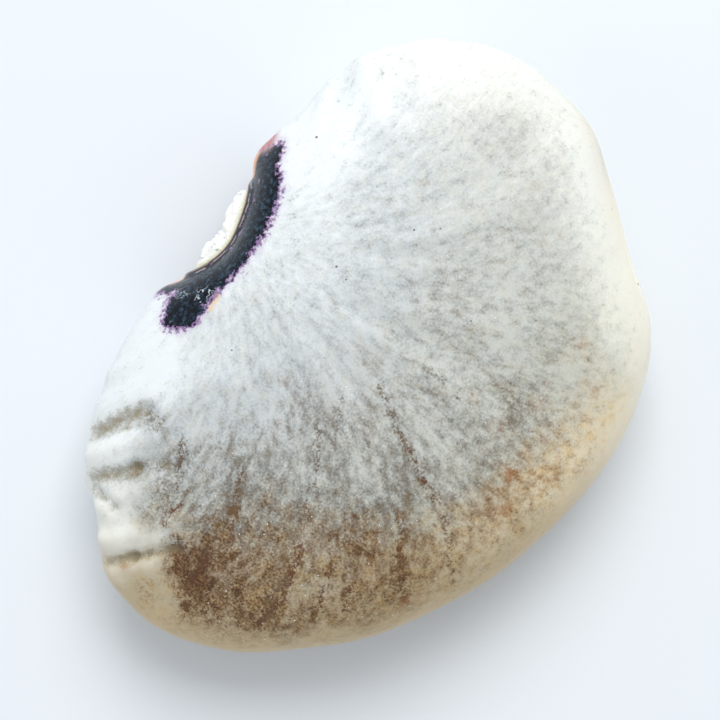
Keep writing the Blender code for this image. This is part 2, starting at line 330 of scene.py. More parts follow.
STAINS = (  # brown patches, and paler ones below 0: x, y, radius, strength
    (7.4, -0.9, 2.0, 0.17), (8.8, -0.8, 1.6, 0.20), (8.2, 0.9, 2.2, 0.12),
    (6.6, 1.4, 2.2, 0.08), (5.8, 4.0, 1.6, 0.14), (10.5, -2.5, 0.6, 0.26),
    (9.9, -3.45, 0.25, 0.25), (10.1, -1.6, 0.5, -0.26), (3.6, 5.0, 1.2, 0.06),
    (5.45, -5.2, 0.45, 0.42), (7.2, -3.65, 0.5, 0.30), (8.2, -3.7, 0.55, 0.32),
    (10.1, -2.8, 0.5, 0.20), (8.7, -1.75, 0.6, 0.37), (8.7, -0.7, 0.7, 0.22),
    (7.6, -1.35, 0.6, 0.14), (4.8, 1.9, 0.9, 0.14), (3.5, 2.25, 0.7, 0.14),
    (5.1, -4.0, 0.5, -0.12), (9.4, -3.8, 0.8, -0.62), (8.45, -2.95, 0.4, -0.28),
    (-1.5, 3.8, 0.9, 0.10), (3.6, -4.8, 0.8, 0.10), (5.9, -3.7, 0.5, 0.14),
    (9.35, -2.5, 0.4, -0.12), (7.6, -2.9, 0.5, -0.14), (10.6, -3.4, 0.5, -0.38),
    (2.2, 4.2, 0.7, -0.09), (-2.5, 5.3, 0.8, -0.08), (2.3, -1.8, 1.0, 0.06),
    (2.2, -4.6, 0.7, -0.06), (-2.3, -3.6, 1.4, -0.07),
)
VEINS = (  # x, y points along each vein, half width, strength
    (
        ((2.37, -0.72), (3.08, -0.59), (3.51, -0.06), (4.13, 0.20), (4.89, 0.25), (5.41, 0.37)),
        0.15, 0.5,
    ),
    (
        ((6.05, 0.89), (6.53, 1.06), (7.23, 1.21), (7.72, 1.36), (8.37, 1.29), (8.91, 1.26)),
        0.15, 1.0,
    ),
    (((0.40, 0.12), (1.20, 1.27), (1.70, 2.29), (2.15, 3.08), (2.36, 3.65)), 0.15, 0.6),
    (((2.36, 3.65), (2.88, 4.34), (3.49, 4.91), (4.21, 5.61)), 0.18, 0.45),
    (((5.08, -2.05), (5.85, -1.72), (6.45, -1.43), (7.01, -1.09)), 0.13, 0.7),
    (((3.55, 3.08), (4.27, 3.49), (5.04, 4.10), (5.56, 4.62)), 0.18, 0.6),
    (((1.32, -0.65), (1.96, -0.41), (2.33, -0.08)), 0.12, 0.4),
    (((-0.98, 0.96), (-0.85, 1.65), (-0.67, 2.25), (-0.58, 2.87)), 0.13, 0.4),
    (((7.15, -3.03), (7.66, -3.08), (8.02, -3.02)), 0.14, 0.7),
    (((7.81, -1.38), (8.40, -1.37), (8.96, -1.31), (9.77, -1.03)), 0.17, 0.75),
    (((6.07, 2.02), (7.04, 2.36), (7.74, 2.61)), 0.15, 0.6),
    (((6.21, 2.99), (6.88, 3.17)), 0.20, 0.6),
    (((8.20, -2.50), (8.55, -2.10), (8.90, -1.90)), 0.26, 0.6),
    (((9.50, -1.30), (9.90, -1.00), (10.20, -0.90)), 0.24, 0.5),
    (((5.36, -4.09), (6.00, -3.75), (6.75, -3.38)), 0.16, 0.6),
)
RUST_SPOTS = (  # x, y, radius, strength
    (-1.96, 4.60, 0.22, 0.8), (0.38, 5.09, 0.30, 1.0), (-2.58, 4.45, 0.16, 0.5),
    (-4.32, 4.65, 0.20, 0.6), (-0.19, 6.02, 0.30, 0.6), (1.42, 5.60, 0.26, 0.8),
    (-4.36, 4.43, 0.16, 0.4), (-2.57, 6.18, 0.20, 0.5), (-0.95, 2.70, 0.18, 0.6),
    (5.60, 4.70, 0.22, 0.6), (3.10, -1.90, 0.12, 0.5), (4.80, -2.60, 0.12, 0.4),
    (-0.60, 3.90, 0.30, 0.5), (-1.30, 5.40, 0.34, 0.5), (-3.40, 5.60, 0.30, 0.4),
    (9.88, -3.46, 0.18, 0.9),
)
EYE_BAND = (  # middle of the dark eye on each face: x, y, half width
    (-3.80, -6.98, 0.34), (-3.25, -6.84, 0.50), (-2.56, -6.48, 0.60), (-1.78, -6.26, 0.62),
    (-1.00, -6.14, 0.64), (-0.15, -6.18, 0.64), (0.62, -6.38, 0.70), (1.34, -6.56, 0.76),
    (1.95, -6.56, 0.68),
)
EYE_RING = (246.0, 278.0, 1.16)  # the band joins up round the hilum: from, to, half width
EYE_RING_POINTS = 15
RED_EDGE = ((-3.95, -7.38), (-4.20, -7.34))
ORANGE_EDGES = (
    ((-2.95, -7.16), (-3.35, -7.40), (-3.60, -7.42)),
    ((2.30, -7.30), (1.70, -7.28), (1.21, -7.20)),
)
EDGE_MARK = 0.36  # the marks cross the widest line: their width by their height
RED_WIDTH = 0.32
ORANGE_WIDTH = 0.20
AMBER_SPOT = ((1.02, -5.76), (1.42, -5.78))
AMBER_WIDTH = 0.18
SQUIGGLE_HIGHLIGHT_SPOTS = (  # painted highlight squiggles on the eye: x, y, radius, strength
    (1.20, -6.14, 0.40, 1.0), (1.60, -6.90, 0.30, 0.7),
)
FACE_FIRST = 0.1  # how much height counts against nearness when a plan point is looked up


def on_face(plan, upper):
    """Outermost points of the seed's upper or lower face at plan points."""
    side = 1.0 if upper else -1.0
    found = []
    for spot in plan:
        away = np.hypot(seed_points[:, 0] - spot[0], seed_points[:, 1] - spot[1])
        found.append(seed_points[np.argmin(away - FACE_FIRST * side * seed_points[:, 2])])
    return np.array(found)


def eye_field():
    """Distance from the dark eye's edge: negative inside."""
    start, end, ring_width = EYE_RING
    ring = outline_points(np.linspace(start, end, EYE_RING_POINTS))
    field = distance_to_line(seed_points, ring) - ring_width
    plan = np.array(EYE_BAND)[:, :2]
    width = np.array(EYE_BAND)[:, 2]
    for upper in (True, False):
        line = on_face(plan, upper)
        for a, b, wide_a, wide_b in zip(line[:-1], line[1:], width[:-1], width[1:]):
            along = b - a
            t = np.clip((seed_points - a) @ along / (along @ along), 0.0, 1.0)
            gap = np.linalg.norm(seed_points - (a + t[:, None] * along), axis=1)
            field = np.minimum(field, gap - (wide_a + t * (wide_b - wide_a)))
    return field


def edge_mark(plan, half_width):
    """A mark across the seed's edge, taller than wide."""
    squashed = seed_points.copy()
    squashed[:, 2] = (seed_points[:, 2] - MIDDLE_Z) * EDGE_MARK
    line = np.column_stack([np.array(plan), np.zeros(len(plan))])
    return bell(distance_to_line(squashed, line), half_width)


def patches(table):
    """Sum of round soft patches given as x, y, radius, strength."""
    away = [np.hypot(seed_points[:, 0] - x, seed_points[:, 1] - y) for x, y, _, _ in table]
    return sum(strength * bell(gap, radius) for gap, (_, _, radius, strength) in zip(away, table))


reach, ray = fan_place(seed_points)
turn = np.arctan2(seed_points[:, 1], seed_points[:, 0])
degrees = np.degrees(turn) % 360
edge_gap = outline_radius(turn) - np.hypot(seed_points[:, 0], seed_points[:, 1])
near_back = 1 - smooth_step(WARM_ZONE[1], WARM_ZONE[0], edge_gap)
margin_angles, margin_widths = zip(*PALE_MARGIN)
margin = np.interp(degrees, margin_angles, margin_widths, period=360)
start, run_in, end, run_out = BACK_EDGE
past_start = (degrees - start) % 360
before_end = (end - start) % 360 - past_start
back_edge = smooth_step(0, run_in, past_start) * smooth_step(0, run_out, before_end)
veins = np.zeros(len(seed_points))
for path, half_width, strength in VEINS:
    line_distance = distance_to_line(seed_points[:, :2], np.array(path))
    veins = np.maximum(veins, strength * bell(line_distance, half_width))
stains = patches(STAINS)
rise_at, rise_to = zip(*FLECK_RISE)
down = seed_points[:, :2] @ np.array(FLECK_WAY)
pale_share, pale_reach = HILUM_PALE
past_pale = np.clip(hilum_distance / pale_reach, 0.0, 1.0)
crowding = np.interp(down, rise_at, rise_to)
crowding *= smooth_step(0.0, MARGIN_FADE, edge_gap - margin)
crowding *= pale_share + (1 - pale_share) * past_pale
crowding += stains * smooth_step(*STAIN_FADE, edge_gap - margin)
dent = np.clip(-fold_relief(seed_points), 0.0, None)
wrinkled_end = smooth_step(*WRINKLED_END, seed_points[:, 0])
fold_depth = dent * wrinkled_end
# Dirt and painted shade: the folds at the wrinkled end get more flecks and stain by their depth.
crowding += FOLD_FLECKS * fold_depth + BACK_FLECKS * back_edge * near_back
brown = BROWNING[2] * smooth_step(*BROWNING[:2], down)
brown += BROWN_STAINS * stains + BROWN_BACK * back_edge * near_back
blush = smooth_step(*BLUSH, seed_points[:, 1])
blush = np.maximum(blush, FAR_BLUSH[2] * smooth_step(*FAR_BLUSH[:2], hilum_distance))
warm = np.maximum(back_edge * near_back, WARM_END[2] * smooth_step(*WARM_END[:2], down))
# Partly painted light: the very edge is palest where light would shine through the coat.
ivory_glow = smooth_step(*RIM_GLOW[:2], degrees) * (1 - smooth_step(*RIM_GLOW[2:], degrees))
from_x = seed_points[:, 0] - FAN_CENTRE[0]
from_y = seed_points[:, 1] - FAN_CENTRE[1]
bend = reach * FAN_BEND * np.arctan2(from_x, from_y)
fan_way = np.stack([from_x + bend * from_y, from_y - bend * from_x, np.zeros(len(reach))], -1)
fan_way /= np.linalg.norm(fan_way, axis=1)[:, None]

seed_marks = {
    "hilum": hilum_distance,
    "eye": eye_field(),
    "red_edge": edge_mark(RED_EDGE, RED_WIDTH),
    "orange_edge": np.maximum(*[edge_mark(line, ORANGE_WIDTH) for line in ORANGE_EDGES]),
    "amber": bell(distance_to_line(seed_points, on_face(AMBER_SPOT, True)), AMBER_WIDTH),
    "vein": veins,
    "rust": patches(RUST_SPOTS),
    "crowding": crowding,
    "stain": stains + FOLD_STAIN * fold_depth,
    "warm": warm,
    "back_edge": back_edge,
    "crease": crease_share(seed_points),
    "blush": blush,
    # painted shade: the folds at the broad end grey the ground
    "fold_shade": dent * (1 - wrinkled_end),
    "brown": brown,
    "fold_dirt_and_shade": fold_depth,
    "ivory_glow": ivory_glow,
    "highlight_squiggles": patches(SQUIGGLE_HIGHLIGHT_SPOTS),
    "edge_gap": edge_gap,
}
for name, values in seed_marks.items():
    layer = seed_mesh.attributes.new(name, "FLOAT", "POINT")
    layer.data.foreach_set("value", values.astype(np.float32))
fan = np.stack([ray * FAN_REACH, reach, seed_points[:, 2]], -1)
for name, values in (("fan", fan), ("fan_way", fan_way)):
    layer = seed_mesh.attributes.new(name, "FLOAT_VECTOR", "POINT")
    layer.data.foreach_set("vector", values.astype(np.float32).ravel())


# Nodes for the trees below, in shaders and geometry alike.
def node(tree, kind, settings=None, **inputs):
    """Adds a node. An input is named by its socket, or is in_0, in_1 and so on by its place."""
    made = tree.nodes.new(kind)
    for key, value in (settings or {}).items():
        setattr(made, key, value)
    for key, value in inputs.items():
        which = int(key[3:]) if key.startswith("in_") else key.replace("_", " ")
        socket = made.inputs[which]
        if isinstance(value, bpy.types.NodeSocket):
            tree.links.new(value, socket)
        else:
            socket.default_value = value
    return made


def calc(tree, operation, first, second=0.0):
    """One sum, product or the like."""
    return node(tree, "ShaderNodeMath", {"operation": operation}, in_0=first, in_1=second).outputs[0]


def fade(tree, value, low, high, start=0.0, end=1.0):
    """Turns a value smoothly from start, at low, to end, at high."""
    settings = {"interpolation_type": "SMOOTHSTEP"}
    ports = {"in_0": value, "in_1": low, "in_2": high, "in_3": start, "in_4": end}
    return node(tree, "ShaderNodeMapRange", settings, **ports).outputs[0]


def paint(tree, share, under, over, mode="MIX"):
    """Lays one colour over another by a share from 0 to 1."""
    settings = {"data_type": "RGBA", "blend_type": mode}
    return node(tree, "ShaderNodeMix", settings, in_0=share, in_6=under, in_7=over).outputs[2]


def noise(tree, vector, scale, detail=3.0, roughness=0.5, seed=0.0):
    """Cloudy values from 0 to 1; the seed picks another cloud."""
    settings = {"noise_dimensions": "4D"}
    ports = {"Vector": vector, "W": seed, "Scale": scale, "Detail": detail, "Roughness": roughness}
    return node(tree, "ShaderNodeTexNoise", settings, **ports).outputs["Fac"]


def stretched(tree, vector, factors):
    """A vector with each axis scaled."""
    made = node(tree, "ShaderNodeVectorMath", {"operation": "MULTIPLY"}, in_0=vector, in_1=factors)
    return made.outputs[0]


def colour(red, green, blue):
    """A linear colour from the 0 to 255 values of a colour chart."""
    chart = [value / 255 for value in (red, green, blue)]
    return tuple([c / 12.92 if c < 0.04045 else ((c + 0.055) / 1.055) ** 2.4 for c in chart] + [1.0])


def shape_tree(name, sizes):
    """An empty geometry tree with an input for each size, a seed and a material."""
    tree = bpy.data.node_groups.new(name, "GeometryNodeTree")
    tree.interface.new_socket("Geometry", in_out="INPUT", socket_type="NodeSocketGeometry")
    for size in sizes:
        tree.interface.new_socket(size, in_out="INPUT", socket_type="NodeSocketFloat")
    tree.interface.new_socket("Seed", in_out="INPUT", socket_type="NodeSocketInt")
    tree.interface.new_socket("Material", in_out="INPUT", socket_type="NodeSocketMaterial")
    tree.interface.new_socket("Geometry", in_out="OUTPUT", socket_type="NodeSocketGeometry")
    return tree, tree.nodes.new("NodeGroupInput").outputs


def end_tree(tree, geometry, material):
    """The tree's last nodes: real geometry with its material."""
    real = node(tree, "GeometryNodeRealizeInstances", Geometry=geometry)
    coated = node(tree, "GeometryNodeSetMaterial", Geometry=real.outputs[0], Material=material)
    node(tree, "NodeGroupOutput", Geometry=coated.outputs[0])


def shaped(name, mesh, tree, values):
    """An object whose mesh is the tree's result, with no modifier left on it."""
    thing = bpy.data.objects.new(name, mesh)
    bpy.context.scene.collection.objects.link(thing)
    modifier = thing.modifiers.new(tree.name, "NODES")
    modifier.node_group = tree
    for item in tree.interface.items_tree:
        if item.name in values:
            modifier[item.identifier] = values[item.name]
    graph = bpy.context.evaluated_depsgraph_get()
    done = bpy.data.meshes.new_from_object(thing.evaluated_get(graph), depsgraph=graph)
    thing.modifiers.clear()
    thing.data = done
    done.name = name
    return thing


# The coat's finish: satin white skin with grey and brown flecks of pigment, cream along its
# back edge and glossy blue-black round the hilum. Some light and shade is painted into the skin as
# well: shade in the folds, highlights on the eye and lip, and light at the thin back edge.
CHALK = colour(241, 246, 248)
PEARL = colour(205, 211, 213)
BLUSH_TINT = colour(255, 249, 233)
FAWN = colour(182, 170, 144)
SAND = colour(209, 187, 151)
GILT = colour(255, 243, 222)
CREAM = colour(240, 230, 208)
IVORY_GLOW = colour(255, 248, 230)
STRAW = colour(214, 190, 147)
ASH = colour(119, 117, 113)
PALE_ASH = colour(156, 163, 166)
TAN = colour(158, 128, 96)
UMBER = colour(108, 80, 54)
GOLD = colour(150, 126, 88)
RUSSET = colour(96, 60, 36)
BARK = colour(58, 36, 22)
RUST = colour(168, 108, 48)
INK = colour(0, 6, 20)
SLATE_SHEEN = colour(62, 90, 112)
SQUIGGLE_HIGHLIGHT = colour(196, 208, 214)
PLUM = colour(118, 64, 134)
LILAC = colour(206, 190, 216)
BRICK = colour(198, 84, 76)
ROSE = colour(222, 186, 192)
SILT_AND_SHADE = colour(152, 137, 103)
APRICOT = colour(255, 188, 138)
AMBER = colour(246, 200, 116)
OLIVE_SHADE = colour(206, 204, 166)
MAUVE_HIGHLIGHT = colour(196, 178, 182)

coat = bpy.data.materials.new("seed_coat_finish")
coat.use_nodes = True
tree = coat.node_tree
shader = tree.nodes["Principled BSDF"]
BUMP_DISTANCE = 0.03 * MM


def mark(tree, name, output="Fac"):
    """The value of one of the marks on a mesh."""
    return node(tree, "ShaderNodeAttribute", {"attribute_name": name}).outputs[output]


def total(tree, *parts):
    """The sum of several values."""
    whole = parts[0]
    for part in parts[1:]:
        whole = calc(tree, "ADD", whole, part)
    return whole


def product(tree, *parts):
    """The product of several values."""
    whole = parts[0]
    for part in parts[1:]:
        whole = calc(tree, "MULTIPLY", whole, part)
    return whole


def spread(tree, value, gain=1.0):
    """Noise round 0 instead of round one half, made stronger or weaker."""
    return product(tree, calc(tree, "SUBTRACT", value, 0.5), gain)


def stir(tree, recipe):
    """How far the clouds push a mark up or down. A recipe gives each cloud's strength."""
    return total(tree, *[spread(tree, clouds[name], gain) for name, gain in recipe.items()])


def moved(tree, vector, way, length):
    """A place moved along a direction."""
    settings = {"operation": "MULTIPLY_ADD"}
    ports = {"in_0": way, "in_1": (length,) * 3, "in_2": vector}
    return node(tree, "ShaderNodeVectorMath", settings, **ports).outputs[0]


def object_place(tree):
    """Object coordinates in millimetres."""
    return stretched(tree, node(tree, "ShaderNodeTexCoord").outputs["Object"], (1 / MM,) * 3)


def set_look(shader, values):
    """Sets the plain values of a material."""
    for name, value in values.items():
        shader.inputs[name].default_value = value


def roughen(tree, shader, height, strength):
    """Gives a material a fine grain, as bump."""
    ports = {"Strength": strength, "Distance": BUMP_DISTANCE, "Height": height}
    bump = node(tree, "ShaderNodeBump", **ports)
    tree.links.new(bump.outputs[0], shader.inputs["Normal"])


# Clouds in the skin: fine grains, clumps drawn out along the rays, and wide changes of tone.
CLOUDS = {  # density per millimetre, detail, roughness, seed
    "grain": (12.0, 2.0, 0.7, 2.0),
    "cloud": (0.8, 3.0, 0.55, 3.0),
    "hue": (2.6, 3.0, 0.6, 13.0),
    "blotch": (0.9, 2.0, 0.6, 14.0),
    "gold": (13.0, 2.0, 0.6, 12.0),
    "gold_patch": (3.2, 3.0, 0.6, 15.0),
    "speck": (7.5, 2.0, 0.6, 7.0),
    "coarse": (2.2, 2.0, 0.5, 8.0),
    "painted_sheen": (6.0, 4.0, 0.75, 9.0),
    "crinkle": (4.5, 1.0, 0.5, 21.0),
    "lip_gap": (2.6, 2.0, 0.6, 10.0),
}
CLUMP_CLOUD = (4.2, 2.0, 0.6, 1.0)
CLUMP_SMEAR = (-0.10, -0.03, 0.03, 0.10)  # shifts along the ray, in millimetres
STREAK_CLOUD = (1.5, 3.0, 0.55, 4.0)
STREAK_STRETCH = (1.0, 0.2, 0.6)
place = object_place(tree)
clouds = {name: noise(tree, place, *values) for name, values in CLOUDS.items()}
way = mark(tree, "fan_way", "Vector")
smeared = [noise(tree, moved(tree, place, way, shift_by), *CLUMP_CLOUD) for shift_by in CLUMP_SMEAR]
clouds["clump"] = product(tree, total(tree, *smeared), 1 / len(CLUMP_SMEAR))
ray_place = stretched(tree, mark(tree, "fan", "Vector"), STREAK_STRETCH)
clouds["streak"] = noise(tree, ray_place, *STREAK_CLOUD)

# Marks and clouds together give the share of each colour. A range holds the two values
# between which a share changes, and then its two ends where they aren't 0 and 1.
VEIN_GAPS = (0.42, 0.56, 0.25, 1.0)
VEIN_ADDS = (("stain", 0.45), ("crowding", 0.20), ("brown", 0.5))
FLECK_STIR = {"clump": 1.6, "cloud": 0.5, "streak": 0.70}
FLECK_GRIT = (0.0, 0.4, 1.1, 2.2)  # stained skin is grainier
FLECK_UNEVEN = (0.0, 0.4, 0.35, 0.9)  # crowded flecks are less even
FLECK_SHARE = (0.24, 1.04)
WARM_STIR = {"cloud": 0.9}
BROWN_STIR = {"hue": 1.8, "clump": 1.2, "blotch": 1.2, "streak": 1.0}
BROWN_THICK = (0.80, 1.25, 0.0, 0.25)
BROWN_SHARE = (0.12, 1.12)
vein = product(tree, mark(tree, "vein"), fade(tree, clouds["clump"], *VEIN_GAPS))
stained, crowded, browned = [
    total(tree, mark(tree, name), product(tree, vein, share)) for name, share in VEIN_ADDS
]
grit = product(tree, spread(tree, clouds["grain"]), fade(tree, stained, *FLECK_GRIT))
uneven = total(tree, stir(tree, FLECK_STIR), grit)
thick = total(tree, crowded, product(tree, uneven, fade(tree, crowded, *FLECK_UNEVEN)))
flecks = fade(tree, thick, *FLECK_SHARE)
warmth = total(tree, mark(tree, "warm"), stir(tree, WARM_STIR))
browned = total(tree, browned, stir(tree, BROWN_STIR), fade(tree, thick, *BROWN_THICK))
browned = fade(tree, browned, *BROWN_SHARE)

# The ground: chalky white, pearl grey under crowded flecks and as painted shade in the folds at the
# broad end, and cream or fawn where it is old.
GROUND_UNEVEN = 0.35
PAINTED_FOLD_SHADE = 0.9
PEARL_SHARE = (0.0, 0.42)
CREAM_SHARE = (0.1, 0.9, 0.0, 0.8)
FAWN_STIR = {"blotch": 0.6, "streak": 0.5}
FAWN_SHARE = (0.05, 0.75, 0.0, 0.85)
shade = total(
    tree,
    crowded,
    product(tree, uneven, GROUND_UNEVEN),
    product(tree, mark(tree, "fold_shade"), PAINTED_FOLD_SHADE),
)
fawn = total(tree, mark(tree, "brown"), stir(tree, FAWN_STIR))
ground = paint(tree, fade(tree, shade, *PEARL_SHARE), CHALK, PEARL)
ground = paint(tree, fade(tree, warmth, *CREAM_SHARE), ground, CREAM)
ground = paint(tree, fade(tree, fawn, *FAWN_SHARE), ground, FAWN)

# The flecks: ash grey, tan where the skin is warm, and umber, gold and bark where it browned.
ASH_SHARE = (0.36, 0.62)
TAN_SHARE = (0.0, 0.9)
GOLD_GRAINS = (0.30, 0.62)
GOLD_PATCHES = (0.38, 0.62)
GOLD_ON_STAINS = (0.2, 0.6, 1.0, 0.45)
BARK_STIR = {"grain": 1.8}
BARK_SHARE = (0.85, 1.55, 0.0, 0.85)
fleck = paint(tree, fade(tree, crowded, *ASH_SHARE), PALE_ASH, ASH)
fleck = paint(tree, fade(tree, warmth, *TAN_SHARE), fleck, TAN)
gold = product(
    tree,
    fade(tree, clouds["gold"], *GOLD_GRAINS),
    fade(tree, clouds["gold_patch"], *GOLD_PATCHES),
    fade(tree, mark(tree, "stain"), *GOLD_ON_STAINS),
)
fleck = paint(tree, browned, fleck, paint(tree, gold, UMBER, GOLD))
skin = paint(tree, flecks, ground, fleck)
bark = fade(tree, total(tree, thick, stir(tree, BARK_STIR)), *BARK_SHARE)
skin = paint(tree, product(tree, bark, browned), skin, BARK)

# Veins, rusty spots, a golden glaze on the warm skin, and dirt and painted shade in the folds.
VEIN_STIR = {"clump": 1.5, "grain": 2.0}
VEIN_SHARE = (0.28, 1.05, 0.0, 0.85)
RUST_CLUMPS = (0.40, 0.60, 0.2, 1.0)
RUST_GRAINS = (0.30, 0.60, 0.21, 0.7)
GILT_HUE = (0.42, 0.66)
GILT_WARM = (0.0, 0.9, 0.25, 1.0)
GILT_FLECKS = (0.0, 0.4)
SILT_PER_DEPTH = 4.0
SILT_STIR = {"clump": 2.2, "grain": 1.4}
SILT_SHARE = (0.15, 1.3, 0.0, 0.72)
vein_line = total(tree, mark(tree, "vein"), stir(tree, VEIN_STIR))
skin = paint(tree, fade(tree, vein_line, *VEIN_SHARE), skin, RUSSET)
rust = product(
    tree,
    mark(tree, "rust"),
    fade(tree, clouds["clump"], *RUST_CLUMPS),
    fade(tree, clouds["grain"], *RUST_GRAINS),
)
skin = paint(tree, rust, skin, RUST)
skin = paint(tree, mark(tree, "blush"), skin, BLUSH_TINT, "MULTIPLY")
gilt = product(
    tree,
    fade(tree, clouds["hue"], *GILT_HUE),
    fade(tree, total(tree, warmth, mark(tree, "brown")), *GILT_WARM),
    fade(tree, crowded, *GILT_FLECKS),
)
skin = paint(tree, gilt, skin, GILT, "MULTIPLY")
# Dirt and painted shade: silt colour in the folds, deeper folds darker.
silt_and_shade = total(tree, product(tree, mark(tree, "fold_dirt_and_shade"), SILT_PER_DEPTH), stir(tree, SILT_STIR))
skin = paint(tree, fade(tree, silt_and_shade, *SILT_SHARE), skin, SILT_AND_SHADE)

# Along the back edge the coat is smoother and straw-coloured, and ivory at the broad end; the ivory
# at the very edge is partly the coat's cream and partly painted light shining through the thin coat.
RIM_STIR = {"cloud": 0.8}
RIM_LAYERS = ((1.2, 0.70, STRAW), (0.30, 0.8, SAND))  # width, share, colour
CREASE_SHARE = (0.55, 1.0, 0.0, 0.6)
gap = total(tree, mark(tree, "edge_gap"), stir(tree, RIM_STIR))
ivory_glow = mark(tree, "ivory_glow")
rim_share = calc(tree, "MAXIMUM", mark(tree, "back_edge"), ivory_glow)
for width, share, tint in RIM_LAYERS:
    rim = product(tree, fade(tree, gap, width, 0.0, 0.0, share), rim_share)
    skin = paint(tree, rim, skin, paint(tree, ivory_glow, tint, IVORY_GLOW))
skin = paint(tree, fade(tree, mark(tree, "crease"), *CREASE_SHARE), skin, TAN)

# The eye: ink with a ragged edge that breaks up into plum-coloured specks, slate-blue patches
# of painted sheen, and thin pale crinkled lines that are painted highlights. Its ranges are distances
# from the eye's edge.
LILAC_STIR = {"coarse": 0.5}
LILAC_SHARE = (0.42, 0.05, 0.0, 0.5)
RAGGED_STIR = {"speck": 0.9, "coarse": 0.4}
PLUM_SHARE = (0.20, 0.06, 0.0, 0.8)
INK_SHARE = (0.03, -0.05)
SLATE_SHEEN_SHARE = (0.46, 0.70)
CRINKLE_LINE = (0.035, 0.01)
SQUIGGLE_HIGHLIGHT_SHARE = (0.3, 0.7, 0.0, 0.9)
eye = mark(tree, "eye")
halo = total(tree, eye, stir(tree, LILAC_STIR))
ragged = total(tree, eye, stir(tree, RAGGED_STIR))
skin = paint(tree, fade(tree, halo, *LILAC_SHARE), skin, LILAC)
skin = paint(tree, fade(tree, ragged, *PLUM_SHARE), skin, PLUM)
ink = fade(tree, ragged, *INK_SHARE)
# Painted sheen: slate-blue patches in the glossy ink.
skin = paint(tree, ink, skin, paint(tree, fade(tree, clouds["painted_sheen"], *SLATE_SHEEN_SHARE), INK, SLATE_SHEEN))
# Painted highlight: thin pale crinkled lines on the ink.
crinkle = calc(tree, "ABSOLUTE", spread(tree, clouds["crinkle"]))
highlight_squiggles = product(
    tree,
    fade(tree, crinkle, *CRINKLE_LINE),
    fade(tree, product(tree, mark(tree, "highlight_squiggles"), ink), *SQUIGGLE_HIGHLIGHT_SHARE),
)
skin = paint(tree, highlight_squiggles, skin, SQUIGGLE_HIGHLIGHT)

# Beside the eye: an amber spot, and orange and red skin on the seed's edge.
AMBER_STIR = {"speck": 2.0, "grain": 1.6}
AMBER_SHARE = (0.45, 1.45, 0.0, 0.70)
APRICOT_SHARE = (0.25, 0.75)
ROSE_SHARE = (0.02, 0.6, 0.0, 0.7)
BRICK_STIR = {"speck": 1.4}
BRICK_SHARE = (0.35, 0.85, 0.0, 0.9)
amber = total(tree, mark(tree, "amber"), stir(tree, AMBER_STIR))
skin = paint(tree, fade(tree, amber, *AMBER_SHARE), skin, AMBER)
skin = paint(tree, fade(tree, mark(tree, "orange_edge"), *APRICOT_SHARE), skin, APRICOT)
skin = paint(tree, fade(tree, mark(tree, "red_edge"), *ROSE_SHARE), skin, ROSE)
brick = total(tree, mark(tree, "red_edge"), stir(tree, BRICK_STIR))
skin = paint(tree, fade(tree, brick, *BRICK_SHARE), skin, BRICK)

# Round the slot: an olive seam against the stalk, partly painted shade, then dark rings along the lip
# and pale mauve lines on it that are painted highlights.
RING_STIR = {"coarse": 0.18, "speck": 0.05}
LIP_HIGHLIGHT_LINE = ((1.00, 0.97), (0.91, 0.94))  # outer and inner edge of the broken pale line, a painted highlight on the lip
LIP_GAPS = (0.40, 0.58)
LIP_SHARE = (0.0, 1.0, 0.05, 0.6)
LIP_RINGS = (  # distance from the slot's middle line: from, fully at; share, colour
    (0.92, 0.90, 1.0, BARK), (0.87, 0.85, 0.45, MAUVE_HIGHLIGHT),
    # olive against the stalk: partly its own tint, partly painted shade
    (0.82, 0.79, 1.0, BARK), (0.76, 0.72, 1.0, OLIVE_SHADE),
)
ring = total(tree, mark(tree, "hilum"), stir(tree, RING_STIR))
broken = fade(tree, fade(tree, clouds["lip_gap"], *LIP_GAPS), *LIP_SHARE)
outer_edge, inner_edge = [fade(tree, ring, *edge) for edge in LIP_HIGHLIGHT_LINE]
# Painted highlight: a broken pale mauve line on the lip's crest.
skin = paint(tree, product(tree, outer_edge, inner_edge, broken), skin, MAUVE_HIGHLIGHT)
for edge, full, share, tint in LIP_RINGS:
    skin = paint(tree, fade(tree, ring, edge, full, 0.0, share), skin, tint)

# A few black pinpricks on the upper face, and painted highlights: tiny white glints among the flecks.
PINPRICKS = (  # x, y, radius
    (-5.05, -6.10, 0.06), (-7.15, 5.20, 0.06), (-4.22, -1.87, 0.05), (-4.84, -1.09, 0.04),
    (-1.93, -3.17, 0.05), (-1.75, -2.68, 0.04), (-2.9, 1.2, 0.04), (2.1, -4.4, 0.04),
)
PINPRICK_CORE = 0.4  # share of the radius that is fully black
PINPRICK_SHARE = 0.85
GLINT_DENSITY = 9.0
GLINT_PICK = (0.975, 0.98)  # few cells have a painted white glint
GLINT_EDGE = (0.22, 0.12)
GLINT_FLECKS = (0.2, 0.6)
WHITE = (1.0, 1.0, 1.0, 1.0)
for x, y, radius in PINPRICKS:
    spot = on_face([(x, y)], True)[0] + shift
    settings = {"operation": "DISTANCE"}
    away = node(tree, "ShaderNodeVectorMath", settings, in_0=place, in_1=tuple(spot))
    prick = (radius, radius * PINPRICK_CORE, 0.0, PINPRICK_SHARE)
    skin = paint(tree, fade(tree, away.outputs["Value"], *prick), skin, BARK)
# Painted highlight: a white glint in a few cells where the flecks are crowded.
cells = node(tree, "ShaderNodeTexVoronoi", Vector=place, Scale=GLINT_DENSITY)
cell_value = node(tree, "ShaderNodeSeparateColor", in_0=cells.outputs["Color"]).outputs[0]
painted_glint = product(
    tree,
    fade(tree, cell_value, *GLINT_PICK),
    fade(tree, cells.outputs["Distance"], *GLINT_EDGE),
    fade(tree, crowded, *GLINT_FLECKS),
)
skin = paint(tree, painted_glint, skin, WHITE)

